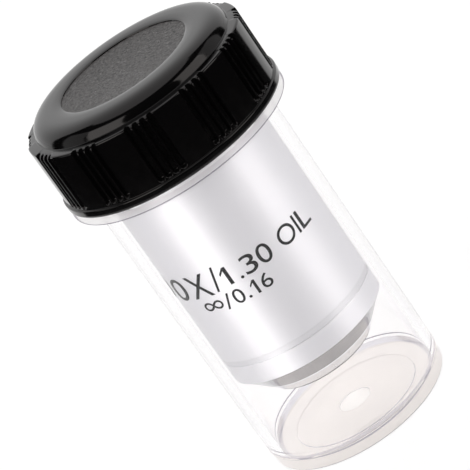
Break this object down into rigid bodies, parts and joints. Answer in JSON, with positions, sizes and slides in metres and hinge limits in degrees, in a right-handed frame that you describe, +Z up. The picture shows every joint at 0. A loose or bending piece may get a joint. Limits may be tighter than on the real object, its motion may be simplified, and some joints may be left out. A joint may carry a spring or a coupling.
{
  "type": "microscope objective in screw-cap vial",
  "caption": "High-power oil-immersion microscope objective with a sprung nose, hanging by its mount thread from the black screw cap of a clear storage vial.",
  "frame": {"origin": "centre of the vial's foot, on the surface that it stands on", "axes": "+Z up the common axis of vial, objective and cap; the marking on the barrel faces -Y"},
  "size_m": [0.034, 0.0338, 0.0604],
  "materials": {
    "clear_plastic": "clear polystyrene, glossy",
    "cap_plastic": "black, glossy, with a fine-grained top disc",
    "satin_chrome": "satin chrome plate",
    "ring_steel": "turned and polished",
    "nose_chrome": "satin chrome plate",
    "screw_steel": "turned",
    "spring_steel": "drawn wire",
    "brass": "turned",
    "black_anodised": "black anodised",
    "optical_glass": "coated",
    "flint_glass": "coated"
  },
  "bodies": {
    "vial": {"vial": "clear_plastic"},
    "slip_washer": {"spring_washer": "brass"},
    "cap_assembly": {"cap": "cap_plastic", "outer_barrel": "satin_chrome", "front_cap": "ring_steel", "rear_mount": "satin_chrome", "lock_screws": "screw_steel", "spring": "spring_steel"},
    "nose": {"lens_tube": "brass", "guide_pin": "screw_steel", "front_cell": "nose_chrome", "front_lens": "optical_glass", "meniscus_cell": "black_anodised", "meniscus_lens": "optical_glass", "spacer_front": "black_anodised", "doublet_a_cell": "black_anodised", "doublet_a_crown": "optical_glass", "doublet_a_flint": "flint_glass", "spacer_mid": "black_anodised", "doublet_b_cell": "black_anodised", "doublet_b_crown": "optical_glass", "doublet_b_flint": "flint_glass", "aperture_stop": "black_anodised", "spacer_rear": "black_anodised", "rear_cell": "black_anodised", "rear_lens": "optical_glass", "cell_lock_ring": "brass"}
  },
  "joints": [
    {"name": "cap_lift", "type": "slide", "parent": "vial", "child": "slip_washer", "axis": [0, 0, 1], "range_m": [0, 0.006]},
    {"name": "cap_turn", "type": "hinge", "parent": "slip_washer", "child": "cap_assembly", "pos_m": [0, 0, 0.053], "axis": [0, 0, 1], "range_deg": [0, 720]},
    {"name": "nose_retract", "type": "slide", "parent": "cap_assembly", "child": "nose", "axis": [0, 0, 1], "range_m": [0, 0.002], "stiffness_N_per_m": 600, "springref_m": -0.0035, "deforming": ["spring"]}
  ],
  "couplings": [
    {"joint": "cap_lift", "follows": "cap_turn", "m_per_rad": 0.00047746}
  ]
}
